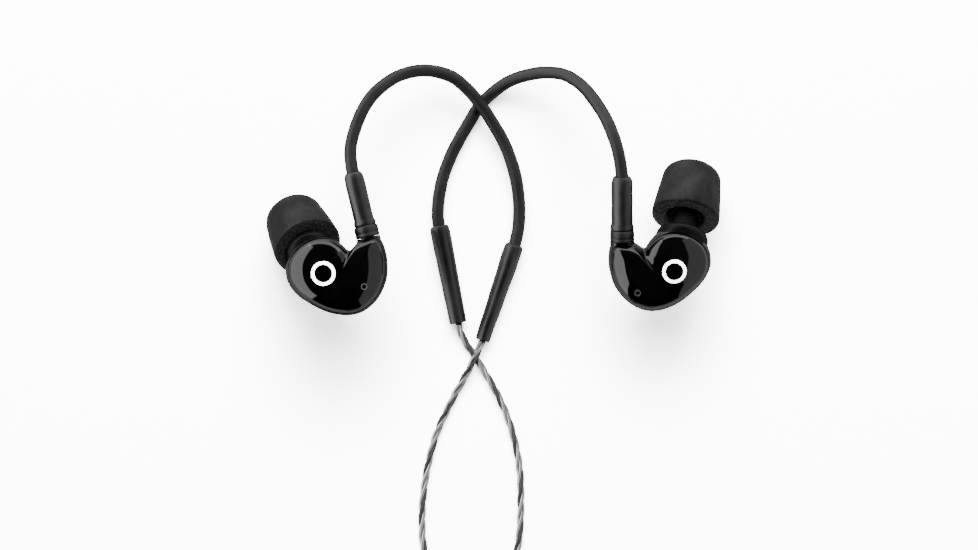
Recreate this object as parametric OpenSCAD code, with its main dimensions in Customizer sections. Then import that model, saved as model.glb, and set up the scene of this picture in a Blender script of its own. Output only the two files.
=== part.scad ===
/* [Earpiece body] */
// Depth of the inner shell below the seam
shell_depth = 6.5; // [5.5:0.1:7]
// Height of the domed faceplate above the seam
dome_h = 3.2; // [2.4:0.1:3.6]
// Wall thickness of the shell and the faceplate
wall = 0.8; // [0.6:0.1:1]
// How far the faceplate's edge sits inside the shell's edge
face_inset = 0.35; // [0.2:0.05:0.5]
// Radius of the pressure vent in the faceplate
vent_r = 0.4; // [0.3:0.05:0.6]

/* [Nozzle and ear tip] */
// Outer radius of the sound nozzle
nozzle_r = 2.5; // [2.3:0.1:2.5]
// Radius of the sound bore
nozzle_bore_r = 1.5; // [1:0.1:1.6]
// Distance from the seam plane to the nozzle's mouth, along its axis
nozzle_end = 14; // [13:0.5:15]
// Downward pitch of the nozzle from the seam plane, in degrees
nozzle_pitch = 46; // [42:1:48]
// Sideways lean of the nozzle away from the connector, in degrees
nozzle_lean = 14; // [10:1:15]
// Outer radius of the foam ear tip at its back face
tip_r = 6.5; // [6:0.1:6.8]
// Length of the foam ear tip
tip_len = 11; // [9:0.5:12]
// Radius of the foam ear tip where its nose starts to round over
tip_nose_r = 5.6; // [5.6:0.1:6.2]
// Rounding radius of the foam ear tip's nose
tip_round = 2.6; // [2:0.1:2.6]
// How far up the nozzle the left ear tip's back face sits
left_tip_seat = 7.2; // [7:0.1:8]
// How far up the nozzle the right ear tip's back face sits
right_tip_seat = 10.2; // [9:0.1:10.5]

/* [Connector] */
// Distance from the body's centre to the connector axis
axis_x = 7.6; // [7.4:0.1:7.8]
// Depth of the connector axis below the seam
axis_drop = 2; // [2:0.05:2.2]
// Outer radius of the cable socket
socket_r = 1.9; // [1.8:0.05:2]
// Radius of the socket's bore
socket_bore_r = 1.3; // [1.25:0.05:1.4]
// Radius of the collar on the cable's plug
collar_r = 2.3; // [2.1:0.1:2.5]
// Length of the collar
collar_len = 2.2; // [1.8:0.1:2.6]

/* [Ear hooks and sleeves] */
// Outer radius of the ear hook tube
hook_r = 1.2; // [1:0.05:1.25]
// Inner radius of the ear hook tube
hook_bore_r = 0.75; // [0.7:0.05:0.8]
// Length of the upper sleeve
upper_sleeve_len = 10.3; // [8:0.1:12]

/* [Cable] */
// Diameter of each lead
lead_d = 1.2; // [1.1:0.05:1.3]
// Diameter of the main cable
main_d = 1.8; // [1.7:0.05:1.9]
// Radius of the coil at the middle of its turns
coil_r = 10; // [9:0.5:11]

/* [Plug] */
// Radius of the stereo plug's pin
pin_r = 1.75; // [1.7:0.05:1.8]
// Radius of the plug's barrel
barrel_r = 3.2; // [2.8:0.1:3.4]
// Length of the plug's barrel
barrel_len = 14; // [12:1:16]

/* [Hidden] */
$fn = 48;

// Small gap that keeps glued neighbours apart
gap = 0.02;

// Where each earpiece lies: the body's centre on the seam plane, its turn about Z and its tilt
// about its own cross axis. The right one is the left one's mirror image.
left_turn = 13.5;
left_tilt = 0;
right_turn = 0.5;
right_tilt = 16;
left_spot = [-29.5, -13.6];
right_spot = [32.2, -12.9];

// Rotations as functions, so that routes can start at a placed connector
function turn_x(p, a) = [p.x, p.y * cos(a) - p.z * sin(a), p.y * sin(a) + p.z * cos(a)];
function turn_z(p, a) = [p.x * cos(a) - p.y * sin(a), p.x * sin(a) + p.y * cos(a), p.z];

// The nozzle's axis: its point on the seam plane and its direction, in the left body's frame
nozzle_base = [-2.8, 1.6, 0];
nozzle_dir = turn_z(turn_x([0, 1, 0], -nozzle_pitch), nozzle_lean);

// Height of the seam plane that lets the foam tip's nose just touch the table
function nose_reach(seat, tilt) =
    let(base = turn_x(nozzle_base, tilt))
    let(dir = turn_x(nozzle_dir, tilt))
    let(across = sqrt(1 - dir.z * dir.z))
    let(reach = seat + tip_len - tip_round)
    -(base.z + dir.z * reach - (tip_nose_r - tip_round) * across - tip_round);
left_pos = [left_spot.x, left_spot.y, nose_reach(left_tip_seat, left_tilt)];
right_pos = [right_spot.x, right_spot.y, nose_reach(right_tip_seat, right_tilt)];
function left_at(p) = left_pos + turn_z(turn_x(p, left_tilt), left_turn);
function right_at(p) = right_pos + turn_z(turn_x([-p.x, p.y, p.z], right_tilt), right_turn);

module on_left() {
    translate(left_pos) rotate([left_tilt, 0, left_turn]) children();
}

module on_right() {
    translate(right_pos) rotate([right_tilt, 0, right_turn]) mirror([1, 0, 0]) children();
}

module on_nozzle(distance) {
    translate(nozzle_base) rotate([0, 0, nozzle_lean]) rotate([-90 - nozzle_pitch, 0, 0])
        translate([0, 0, distance]) children();
}

module on_connector(distance) {
    translate([axis_x, distance, -axis_drop]) rotate([-90, 0, 0]) children();
}

// Smooth curve through hand-chosen points: a Catmull-Rom spline
function spline_at(a, b, c, d, t) =
    0.5 * (2 * b + (c - a) * t + (2 * a - 5 * b + 4 * c - d) * t * t
           + (3 * b - a - 3 * c + d) * t * t * t);
function open_curve(p, steps) =
    let(last = len(p) - 1)
    concat([for (i = [0:last - 1]) for (k = [0:steps - 1])
            spline_at(i == 0 ? 2 * p[0] - p[1] : p[i - 1], p[i], p[i + 1],
                      i == last - 1 ? 2 * p[last] - p[last - 1] : p[i + 2], k / steps)],
           [p[last]]);
function closed_curve(p, steps) =
    let(n = len(p))
    [for (i = [0:n - 1]) for (k = [0:steps - 1])
        spline_at(p[(i + n - 1) % n], p[i], p[(i + 1) % n], p[(i + 2) % n], k / steps)];

// ---- Body outline: heart shape with a notch between the nozzle lobe and the shoulder ----
outline_points = [[10.1, 0.1], [10.2, 3.4], [9.5, 5.2], [7.6, 5.6], [5.7, 5.3], [4.4, 4.4],
                  [3.4, 4.1], [2.3, 5.7], [0.4, 7.4], [-2.5, 8.1], [-5.8, 7.2], [-8.4, 4.8],
                  [-9.2, 1.6], [-8.4, -1.2], [-6.6, -3.5], [-3.6, -6.1], [-0.2, -7.7],
                  [3.2, -7.9], [6.5, -6.3], [9, -3.3]];
outline = closed_curve(outline_points, 3);
ring_n = len(outline);
middle = [1, 0];
body_r = 8;
wall_share = wall / body_r;
inset_share = face_inset / body_r;

// One ring of the body: the outline drawn in towards the middle, at a height
function level(grow, z) = [for (p = outline) concat(middle + grow * (p - middle), [z])];

// Squarish quarter curve from the seam (0 degrees) to the pole (90 degrees)
shell_power = 0.77;
dome_in_power = 0.85;
dome_up_power = 0.9;
angles = [0, 12, 26, 40, 54, 68, 82];
function rings_down(inset, depth, in_power, down_power) =
    [for (a = angles) level((1 - inset) * pow(cos(a), in_power),
                            -depth * pow(sin(a), down_power))];

// Closed cup between an outer and an inner stack of rings that both start at the rim
module cup(outer, inner) {
    rows = len(outer);
    points = concat([for (r = outer) each r], [for (r = inner) each r]);
    start = rows * ring_n;
    polyhedron(points, concat(
        [for (j = [0:rows - 2]) for (i = [0:ring_n - 1])
            [j * ring_n + i, j * ring_n + (i + 1) % ring_n,
             (j + 1) * ring_n + (i + 1) % ring_n, (j + 1) * ring_n + i]],
        [[for (i = [0:ring_n - 1]) (rows - 1) * ring_n + i]],
        [for (j = [0:rows - 2]) for (i = [0:ring_n - 1])
            [start + j * ring_n + i, start + (j + 1) * ring_n + i,
             start + (j + 1) * ring_n + (i + 1) % ring_n, start + j * ring_n + (i + 1) % ring_n]],
        [[for (i = [ring_n - 1:-1:0]) start + (rows - 1) * ring_n + i]],
        [for (i = [0:ring_n - 1])
            [i, start + i, start + (i + 1) % ring_n, (i + 1) % ring_n]]));
}

// ---- Earpiece parts, all in the left body's frame ----
hole_r = 3;
boss_start = 4.2;
base_r = 5;
base_end = 6.6;
module shell() {
    color([0.02, 0.02, 0.022]) difference() {
        union() {
            cup(rings_down(0, shell_depth, shell_power, shell_power),
                rings_down(wall_share, shell_depth - wall, shell_power, shell_power));
            intersection() {
                on_connector(boss_start) cylinder(r = collar_r, h = socket_end - boss_start);
                translate([0, 0, -10 - gap]) cube([20, 20, 10]);
            }
            intersection() {
                on_nozzle(0) rotate_extrude() polygon([
                    [0, 4.7], [3, 4.7], [base_r, 3.2], [base_r, base_end - 0.7],
                    [base_r - 0.3, base_end - 0.2], [base_r - 1, base_end], [0, base_end]]);
                translate([-20, -20, -12 - gap]) cube([40, 40, 12]);
            }
        }
        on_nozzle(3) cylinder(r = hole_r, h = 6);
        on_connector(0) cylinder(r = socket_r + gap, h = 8);
    }
}

vent_spot = [4.8, -3.3];
module faceplate() {
    color([0.02, 0.02, 0.022]) difference() {
        translate([0, 0, gap]) mirror([0, 0, 1])
            cup(rings_down(inset_share, dome_h, dome_in_power, dome_up_power),
                rings_down(inset_share + wall_share, dome_h - wall, dome_in_power,
                           dome_up_power));
        translate([vent_spot.x, vent_spot.y, 0]) cylinder(r = vent_r + 0.25, h = 5);
    }
}

module vent_ring() {
    color([0.1, 0.1, 0.11]) translate([vent_spot.x, vent_spot.y, 1.6]) difference() {
        cylinder(r = vent_r + 0.23, h = 1.4);
        translate([0, 0, -1]) cylinder(r = vent_r, h = 4);
    }
}

flange_start = 5.2;
flange_end = 6.9;
module nozzle() {
    color([0.03, 0.03, 0.03]) on_nozzle(0) rotate_extrude() polygon([
        [nozzle_bore_r, flange_start], [hole_r - gap, flange_start],
        [hole_r - gap, flange_end], [nozzle_r - 0.2, flange_end + 0.1],
        [nozzle_r - 0.2, nozzle_end - 1.6], [nozzle_r, nozzle_end - 1.2],
        [nozzle_r, nozzle_end - 0.3], [nozzle_r - 0.3, nozzle_end],
        [nozzle_bore_r + 0.42, nozzle_end], [nozzle_bore_r + 0.42, nozzle_end - 0.4],
        [nozzle_bore_r, nozzle_end - 0.4]]);
}

module nozzle_mesh() {
    color([0.75, 0.75, 0.75]) on_nozzle(nozzle_end - 0.38)
        cylinder(r = nozzle_bore_r + 0.4, h = 0.25);
}

core_r = 2.9;
core_bore_r = nozzle_r + 0.1;
recess_r = 3.6;
recess_depth = 2;
sound_hole_r = 1.9;
module foam_tip(seat) {
    nose = tip_len - tip_round;
    color([0.13, 0.13, 0.14]) on_nozzle(seat) rotate_extrude() polygon(concat(
        [[core_r + gap, recess_depth], [recess_r, recess_depth], [recess_r, 0.4],
         [recess_r + 0.3, 0], [tip_r - 0.4, 0], [tip_r, 0.4]],
        [for (a = [0:10:90]) [tip_nose_r - tip_round + tip_round * cos(a),
                              nose + tip_round * sin(a)]],
        [[core_r + gap, tip_len]]));
}

module tip_core(seat) {
    color([0.05, 0.05, 0.05]) on_nozzle(seat) rotate_extrude() polygon([
        [core_bore_r, 0.3], [core_r, 0.3], [core_r, tip_len - 0.3],
        [sound_hole_r, tip_len - 0.3], [sound_hole_r, tip_len - 2], [core_bore_r, tip_len - 2]]);
}

driver_spot = [-1.6, -0.2, -3.4];
driver_r = 4.1;
module at_driver() {
    translate(driver_spot) children();
}

module driver_frame() {
    color([0.55, 0.55, 0.57]) at_driver() difference() {
        cylinder(r = driver_r, h = 2);
        translate([0, 0, -1]) cylinder(r = driver_r - 0.5, h = 2.4);
        translate([0, 0, -1]) cylinder(r = 2.62, h = 4);
        for (a = [0:60:300]) rotate([0, 0, a]) translate([3.2, 0, 0]) cylinder(r = 0.3, h = 4);
    }
}

module driver_magnet() {
    color([0.7, 0.7, 0.72]) at_driver() translate([0, 0, 1.1]) difference() {
        cylinder(r = 2.6, h = 1.9);
        translate([0, 0, -1]) cylinder(r = 0.5, h = 4);
    }
}

module driver_diaphragm() {
    color([0.85, 0.75, 0.5]) at_driver() rotate_extrude() polygon([
        [0, 0.35], [0.8, 0.25], [1.5, 0.1], [1.6, 0.6], [1.8, 0.6], [1.9, 0.2], [2.8, 0.35],
        [3.5, 0.1], [3.5, 0], [2.8, 0.25], [1.8, 0], [1.4, 0], [0.8, 0.15], [0, 0.25]]);
}

module driver_wires() {
    color([0.8, 0.5, 0.3]) for (k = [0, 1]) translate([0, -0.9 * k, 0])
        swept(open_curve([[1.2, 1.6, -1.1], [2.6, 1.7, -1.1], [4.2, 1.2, -1.4],
                          [5.6, 0.9, -1.8], [7.2, 1, -2]], 3), 0.12, 6);
}

socket_start = 1.6;
socket_end = 5.6;
module socket() {
    color([0.85, 0.68, 0.35]) on_connector(0) rotate_extrude() polygon([
        [0.95, socket_start], [socket_r, socket_start], [socket_r, socket_end],
        [socket_bore_r, socket_end], [socket_bore_r, socket_start + 0.8],
        [0.95, socket_start + 0.8]]);
}

module socket_insulator() {
    color([0.9, 0.9, 0.88]) on_connector(0) rotate_extrude() polygon([
        [0.25, socket_start + 0.1], [0.93, socket_start + 0.1], [0.93, socket_start + 0.85],
        [0.6, socket_start + 0.9], [0.6, socket_start + 2.6], [0.25, socket_start + 2.6]]);
}

ring_start = 3.5;
module snap_ring() {
    color([0.8, 0.8, 0.82]) on_connector(ring_start) difference() {
        cylinder(r = 1.25, h = 0.5);
        translate([0, 0, -1]) cylinder(r = 1.0, h = 3);
        translate([0, -0.25, -1]) cube([3, 0.5, 3]);
    }
}

collar_start = socket_end + 0.05;
collar_end = collar_start + collar_len;
module cable_plug() {
    color([0.85, 0.68, 0.35]) on_connector(0) rotate_extrude() polygon([
        [0.75, socket_start + 1.2], [1.12, socket_start + 1.2], [1.2, ring_start - 0.1],
        [0.95, ring_start - 0.05], [0.95, ring_start + 0.55], [1.2, ring_start + 0.6],
        [1.2, collar_end + 1], [0.4, collar_end + 1], [0.4, collar_end - 0.4],
        [0.75, collar_start + 0.2]]);
}

module cable_pin() {
    color([0.9, 0.75, 0.4]) on_connector(socket_start + 1) union() {
        cylinder(r = 0.2, h = collar_end - socket_start);
        translate([0, 0, collar_end - socket_start - 0.6]) cylinder(r = 0.38, h = 0.6);
    }
}

module collar() {
    color([0.06, 0.06, 0.06]) on_connector(0) rotate_extrude() polygon([
        [1.22, collar_start], [collar_r - 0.25, collar_start], [collar_r, collar_start + 0.25],
        [collar_r, collar_end - 0.3], [collar_r - 0.3, collar_end], [1.22, collar_end]]);
}

sleeve_start = collar_end + gap;
sleeve_end = sleeve_start + upper_sleeve_len;
hook_start = collar_end + 1.6;
sleeve_bore_r = 1.4;
left_upper_r = 1.85;
right_upper_r = 1.9;
module upper_sleeve(r) {
    color([0.05, 0.05, 0.055]) on_connector(0) rotate_extrude() polygon([
        [sleeve_bore_r, sleeve_start], [r + 0.1, sleeve_start], [r + 0.2, sleeve_start + 0.4],
        [r, sleeve_start + 1.6], [r, sleeve_end - 1.2], [r - 0.25, sleeve_end - 0.35],
        [r - 0.4, sleeve_end], [sleeve_bore_r, sleeve_end]]);
}

// ---- Tubes swept along a route ----
function unit(v) = v / norm(v);
function direction(p, i) = unit(p[min(i + 1, len(p) - 1)] - p[max(i - 1, 0)]);
function ring_at(p, i, r, sides) =
    let(t = direction(p, i))
    let(n = unit(cross([0, 0, 1], t)))
    let(b = cross(t, n))
    [for (k = [0:sides - 1]) p[i] + r * (cos(360 * k / sides) * n + sin(360 * k / sides) * b)];

module swept(p, r, sides) {
    rows = len(p);
    polyhedron([for (i = [0:rows - 1]) each ring_at(p, i, r, sides)], concat(
        [[for (k = [sides - 1:-1:0]) k]],
        [for (i = [0:rows - 2]) for (k = [0:sides - 1]) for (half = [0, 1])
            let(a = i * sides + k, b = i * sides + (k + 1) % sides)
            half == 0 ? [a, b, b + sides] : [a, b + sides, a + sides]],
        [[for (k = [0:sides - 1]) (rows - 1) * sides + k]]));
}

module swept_pipe(p, r, bore_r, sides) {
    rows = len(p);
    inner = rows * sides;
    points = concat([for (i = [0:rows - 1]) each ring_at(p, i, r, sides)],
                    [for (i = [0:rows - 1]) each ring_at(p, i, bore_r, sides)]);
    far = (rows - 1) * sides;
    polyhedron(points, concat(
        [for (i = [0:rows - 2]) for (k = [0:sides - 1]) for (half = [0, 1])
            let(a = i * sides + k, b = i * sides + (k + 1) % sides)
            half == 0 ? [a, b, b + sides] : [a, b + sides, a + sides]],
        [for (i = [0:rows - 2]) for (k = [0:sides - 1]) for (half = [0, 1])
            let(a = inner + i * sides + k, b = inner + i * sides + (k + 1) % sides)
            half == 0 ? [b, a, b + sides] : [b + sides, a, a + sides]],
        [for (k = [0:sides - 1]) [(k + 1) % sides, k, inner + k, inner + (k + 1) % sides]],
        [for (k = [0:sides - 1])
            [far + k, far + (k + 1) % sides, inner + far + (k + 1) % sides, inner + far + k]]));
}

// Routes of the ear hooks. Each starts inside its upper sleeve and ends inside its lower one.
left_hook_route = concat(
    [left_at([axis_x, hook_start, -axis_drop]), left_at([axis_x, sleeve_end - 3, -axis_drop]),
     left_at([axis_x, sleeve_end, -axis_drop])],
    [[-26.8, 10, 13.5], [-25.9, 14.2, 12.9], [-24, 18.6, 11.8], [-21.4, 21.8, 10.6],
     [-17.5, 24.4, 9.1], [-12.7, 25.4, 7.3], [-8, 24.4, 5.8], [-4.9, 22.1, 4.7],
     [-2.3, 19.1, 3.9], [0.3, 15.2, 3.1], [2.6, 11, 2.5], [4.3, 6, 2.1], [5.1, 1, 1.9],
     [5.1, -3.6, 1.8], [4.4, -7.4, 1.8], [3.4, -10.4, 1.74], [2.8, -12.2, 1.7]]);
right_hook_route = concat(
    [right_at([axis_x, hook_start, -axis_drop]), right_at([axis_x, sleeve_end - 3, -axis_drop]),
     right_at([axis_x, sleeve_end, -axis_drop])],
    [[23.8, 9.2, 18.1], [22.8, 12.6, 17.8], [21.3, 16.2, 16.4], [19.2, 19.6, 14.3],
     [16.9, 22.4, 12], [13.9, 24.4, 9.6], [10.6, 25, 7.2], [7.2, 24.7, 5.1],
     [3.5, 23.6, 3.2], [0.4, 21.6, 1.8], [-2.3, 19, 1.3], [-4.2, 16, 1.25], [-6.2, 12.6, 1.25],
     [-8, 9, 1.25], [-9.4, 5.2, 1.35], [-10.2, 1.2, 1.6], [-10.4, -2, 1.85],
     [-10.1, -4.4, 1.88], [-9.6, -7, 1.84], [-9.3, -8.6, 1.82]]);
left_lower_start = [4.3, -7.7, 1.8];
left_lower_end = [-1.9, -26, 1.35];
left_lower_r = [1.75, 1.33];
right_lower_start = [-10.15, -4.1, 1.88];
right_lower_end = [-6.5, -22.7, 1.6];
right_lower_r = [1.85, 1.58];
hook_steps = 3;

module ear_hook(route) {
    color([0.1, 0.1, 0.105]) swept_pipe(open_curve(route, hook_steps), hook_r, hook_bore_r, 12);
}

// The cable runs on through the lower sleeve to its end
module hook_cable(route, last) {
    color([0.6, 0.6, 0.62]) swept(open_curve(concat(route, [last]), 2), lead_d / 2, 8);
}

// r holds the sleeve's radius at the hook's end and at the cable's end
module lower_sleeve(start, end, r) {
    along = end - start;
    tube_len = norm(along);
    color([0.05, 0.05, 0.055]) translate(start)
        rotate([0, acos(along.z / tube_len), atan2(along.y, along.x)])
        rotate_extrude() polygon([
            [sleeve_bore_r, 0], [r[0] - 0.25, 0], [r[0] - 0.05, 0.3], [r[0], 1.1], [r[0], 4.2],
            [r[0] - 0.1, 5.2], [r[1], tube_len - 0.3], [r[1] - 0.15, tube_len],
            [0.75, tube_len], [0.75, 7], [sleeve_bore_r, 6.6]]);
}

// ---- Cable, in the order it runs away from the earpieces ----
lead_r = lead_d / 2;
main_r = main_d / 2;
coil_x = -16.4;
coil_y = -108;
coil_base = 0.4;
coil_half_w = 3.6;
lead_layers = 2 * lead_d;
main_layers = 4 * main_d;

left_lead_route = [left_lower_end, [-2.3, -27.2, 1.55], [-3.2, -29.1, 1.95],
    [-5.1, -32.8, 1.2], [-7.2, -36.5, 0.7], [-9, -40.1, 0.62], [-10.7, -44, 0.62],
    [-12, -48.6, 0.62], [-12.8, -52.8, 0.62], [-13.3, -57.1, 0.62], [-13.4, -61.4, 0.62],
    [-13.1, -65.5, 0.62], [-11.9, -69, 0.7], [-9.4, -71.8, 0.9], [-6.8, -73.8, 1.2],
    [-5.2, -75.8, 1.38], [-4.75, -77.4, 1.4], [-4.75, -78.6, 1.4], [-4.75, -88, 1.4],
    [-4.75, -96, 1.4], [-4.7, -98.5, 1.3], [-4.6, -101.6, 1.1]];
right_lead_route = [right_lower_end, [-6.1, -24.2, 1.3], [-5.3, -26, 0.9],
    [-3.6, -28.6, 0.64], [-2.2, -30.8, 0.62], [-0.5, -33.6, 0.62], [1.3, -36.9, 0.62],
    [2.8, -40.3, 0.62], [4, -44, 0.62], [4.9, -48, 0.62], [5.4, -52, 0.62],
    [5.5, -56.4, 0.62], [5.4, -60.9, 0.62], [4.9, -65.5, 0.62], [3.7, -69, 0.7],
    [1.3, -71.8, 0.9], [-1.3, -73.8, 1.2], [-2.8, -75.8, 1.38], [-3.25, -77.4, 1.4],
    [-3.25, -78.6, 1.4], [-3.25, -88, 1.4], [-3.25, -96, 1.4], [-3.3, -98.5, 1.3],
    [-3.4, -104, 1.05]];
lead_gap = 1.4;
left_end_route = [[-4.6, -114.9, 2.3], [-4.65, -118, 2.45], [-4.7, -121.5, 2.6],
    [-4.7, -125, 2.6]];
right_end_route = [[-3.4, -112.1, 2.3], [-3.35, -117, 2.45], [-3.3, -121.5, 2.6],
    [-3.3, -125, 2.6]];
main_loop_route = [[-4, -133, 2.6], [-4, -136, 2.3], [-4.1, -138.5, 1.4], [-5.7, -144.3, 0.92],
    [-10.3, -148.9, 0.92], [-16.5, -150.6, 0.92], [-22.8, -148.9, 0.92],
    [-27.4, -144.3, 0.92], [-29.1, -138, 0.92], [-29.1, -130, 1.3], [-29.1, -122, 2.6],
    [-29.1, -116, 3.6], [-29.1, -112.6, 3.7]];
main_end_route = [[-3.7, -109, 9.1], [-3.3, -111.6, 8.6], [-2.2, -113.8, 7.4],
    [-0.4, -115.8, 5.7], [1.8, -117.2, 4.3], [4.4, -118.6, 3.5], [7, -120.1, 3.25],
    [8.6, -121.02, 3.25]];

module lead(route) {
    color([0.7, 0.7, 0.72]) swept(open_curve(route, 1), lead_r, 8);
}

slider_len = 6;
slider_y = -78.8;
module neck_slider() {
    color([0.05, 0.05, 0.05]) translate([-4, slider_y, 1.4]) rotate([90, 0, 0]) difference() {
        hull() for (s = [-1, 1]) translate([1.2 * s, 0, 0]) rotate_extrude($fn = 32) polygon([
            [0, 0], [1.1, 0], [1.38, 0.4], [1.38, slider_len - 0.4], [1.1, slider_len],
            [0, slider_len]]);
        for (s = [-1, 1]) translate([0.75 * s, 0, -1]) cylinder(r = 0.66, h = slider_len + 2);
    }
}

// Outer shape of the turns of a coil, from one height to another
module coil_ring(low, high) {
    translate([coil_x, coil_y, 0]) rotate_extrude($fn = 96) polygon([
        [coil_r - coil_half_w, low + 0.3], [coil_r - coil_half_w + 0.3, low],
        [coil_r + coil_half_w - 0.3, low], [coil_r + coil_half_w, low + 0.3],
        [coil_r + coil_half_w, high - 0.3], [coil_r + coil_half_w - 0.3, high],
        [coil_r - coil_half_w + 0.3, high], [coil_r - coil_half_w, high - 0.3]]);
}

module lead_coil() {
    color([0.7, 0.7, 0.72]) coil_ring(coil_base, coil_base + lead_layers - gap);
}

module lead_ends() {
    color([0.7, 0.7, 0.72]) {
        swept(open_curve(left_end_route, 1), lead_r, 8);
        swept(open_curve(right_end_route, 1), lead_r, 8);
    }
}

splitter_y = -123;
splitter_len = 12;
module y_splitter() {
    color([0.05, 0.05, 0.05]) translate([-4, splitter_y, 2.6]) rotate([90, 0, 0])
        difference() {
            rotate_extrude() polygon([
                [0, 0], [1.9, 0], [2.3, 0.5], [2.5, 3], [2.4, 8], [1.7, splitter_len - 0.3],
                [1.5, splitter_len], [0, splitter_len]]);
            for (s = [-1, 1]) translate([lead_gap / 2 * s, 0, -1])
                cylinder(r = lead_r + 0.05, h = 3.4);
            translate([0, 0, splitter_len - 2.4]) cylinder(r = main_r + 0.05, h = 4);
        }
}

module main_loop() {
    color([0.7, 0.7, 0.72]) swept(open_curve(main_loop_route, 1), main_r, 8);
}

module cable_coil() {
    color([0.7, 0.7, 0.72])
        coil_ring(coil_base + lead_layers, coil_base + lead_layers + main_layers);
}

// Band round the coil's section, on the side away from the splitter
tie_w = 4;
module cable_tie() {
    top = coil_base + lead_layers + main_layers;
    color([0.04, 0.04, 0.04]) translate([coil_x, coil_y, 0]) rotate([0, 0, 125]) intersection() {
        rotate_extrude($fn = 96) difference() {
            translate([coil_r - coil_half_w - 0.4, 0]) square([2 * coil_half_w + 0.8, top + 0.4]);
            translate([coil_r - coil_half_w - gap, coil_base - gap])
                square([2 * coil_half_w + 2 * gap, top - coil_base + 2 * gap]);
        }
        translate([0, -tie_w / 2, -1]) cube([30, tie_w, 30]);
    }
}

module main_end() {
    color([0.7, 0.7, 0.72]) swept(open_curve(main_end_route, 1), main_r, 8);
}

// The plug lies on the table, pointing away from the coil
plug_spot = [7, -120.1, 3.25];
plug_heading = -30;
relief_len = 10;
pin_start = relief_len + barrel_len;
module on_plug() {
    translate(plug_spot) rotate([0, 0, plug_heading]) rotate([0, 90, 0]) children();
}

module plug_strain_relief() {
    color([0.05, 0.05, 0.05]) on_plug() difference() {
        rotate_extrude() polygon([
            [0, 0], [1.3, 0], [1.5, 0.3], [1.9, relief_len - gap], [0, relief_len - gap]]);
        translate([0, 0, -1]) cylinder(r = main_r + 0.05, h = 4);
        for (k = [0:3]) translate([0, 0, 2.4 + 1.7 * k]) difference() {
            cylinder(r = 4, h = 0.6);
            translate([0, 0, -1]) cylinder(r = 1.25, h = 3);
        }
    }
}

module plug_barrel() {
    color([0.12, 0.12, 0.13]) on_plug() rotate_extrude() polygon([
        [0, relief_len], [2, relief_len], [barrel_r - 0.6, relief_len + 0.8],
        [barrel_r, relief_len + 1.8], [barrel_r, pin_start - 0.5],
        [barrel_r - 0.4, pin_start - gap], [0, pin_start - gap]]);
}

contact_gap = 0.5;
sleeve_len = 6;
band_len = 2.4;
ring_at_len = sleeve_len + contact_gap;
tip_at_len = ring_at_len + band_len + contact_gap;
pin_len = 14;
module plug_sleeve_contact() {
    color([0.85, 0.68, 0.35]) on_plug() translate([0, 0, pin_start])
        cylinder(r = pin_r, h = sleeve_len);
}

module plug_ring_contact() {
    color([0.85, 0.68, 0.35]) on_plug() translate([0, 0, pin_start + ring_at_len])
        cylinder(r = pin_r, h = band_len);
}

module plug_tip_contact() {
    color([0.85, 0.68, 0.35]) on_plug() translate([0, 0, pin_start]) rotate_extrude() polygon([
        [0, tip_at_len], [pin_r, tip_at_len], [pin_r, tip_at_len + 0.6],
        [1.3, tip_at_len + 1.5], [1.7, tip_at_len + 2.4], [1.5, tip_at_len + 3.2],
        [0.5, pin_len], [0, pin_len]]);
}

module plug_insulators() {
    color([0.05, 0.05, 0.05]) on_plug() translate([0, 0, pin_start])
        for (z = [sleeve_len, ring_at_len + band_len])
            translate([0, 0, z + gap]) cylinder(r = pin_r, h = contact_gap - 2 * gap);
}

on_left() faceplate();  // left_faceplate
on_left() shell();  // left_shell
on_left() vent_ring();  // left_vent_ring
on_left() nozzle();  // left_nozzle
on_left() nozzle_mesh();  // left_nozzle_mesh
on_left() foam_tip(left_tip_seat);  // left_foam_tip
on_left() tip_core(left_tip_seat);  // left_tip_core
on_left() driver_frame();  // left_driver_frame
on_left() driver_magnet();  // left_driver_magnet
on_left() driver_diaphragm();  // left_driver_diaphragm
on_left() driver_wires();  // left_driver_wires
on_left() socket();  // left_socket
on_left() socket_insulator();  // left_socket_insulator
on_left() snap_ring();  // left_snap_ring
on_left() cable_plug();  // left_cable_plug
on_left() cable_pin();  // left_cable_pin
on_left() collar();  // left_collar
on_left() upper_sleeve(left_upper_r);  // left_upper_sleeve
ear_hook(left_hook_route);  // left_ear_hook
hook_cable(left_hook_route, left_lower_end);  // left_hook_cable
lower_sleeve(left_lower_start, left_lower_end, left_lower_r);  // left_lower_sleeve
lead(left_lead_route);  // left_lead
on_right() faceplate();  // right_faceplate
on_right() shell();  // right_shell
on_right() vent_ring();  // right_vent_ring
on_right() nozzle();  // right_nozzle
on_right() nozzle_mesh();  // right_nozzle_mesh
on_right() foam_tip(right_tip_seat);  // right_foam_tip
on_right() tip_core(right_tip_seat);  // right_tip_core
on_right() driver_frame();  // right_driver_frame
on_right() driver_magnet();  // right_driver_magnet
on_right() driver_diaphragm();  // right_driver_diaphragm
on_right() driver_wires();  // right_driver_wires
on_right() socket();  // right_socket
on_right() socket_insulator();  // right_socket_insulator
on_right() snap_ring();  // right_snap_ring
on_right() cable_plug();  // right_cable_plug
on_right() cable_pin();  // right_cable_pin
on_right() collar();  // right_collar
on_right() upper_sleeve(right_upper_r);  // right_upper_sleeve
ear_hook(right_hook_route);  // right_ear_hook
hook_cable(right_hook_route, right_lower_end);  // right_hook_cable
lower_sleeve(right_lower_start, right_lower_end, right_lower_r);  // right_lower_sleeve
lead(right_lead_route);  // right_lead
neck_slider();
lead_coil();
lead_ends();
y_splitter();
main_loop();
cable_coil();
cable_tie();
main_end();
plug_strain_relief();
plug_barrel();
plug_sleeve_contact();
plug_ring_contact();
plug_tip_contact();
plug_insulators();
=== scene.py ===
"""A pair of in-ear monitors lying flat: the looks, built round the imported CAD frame."""
import math

import bmesh
import bpy
import numpy as np
from mathutils import Matrix, Vector
from mathutils.bvhtree import BVHTree


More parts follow.
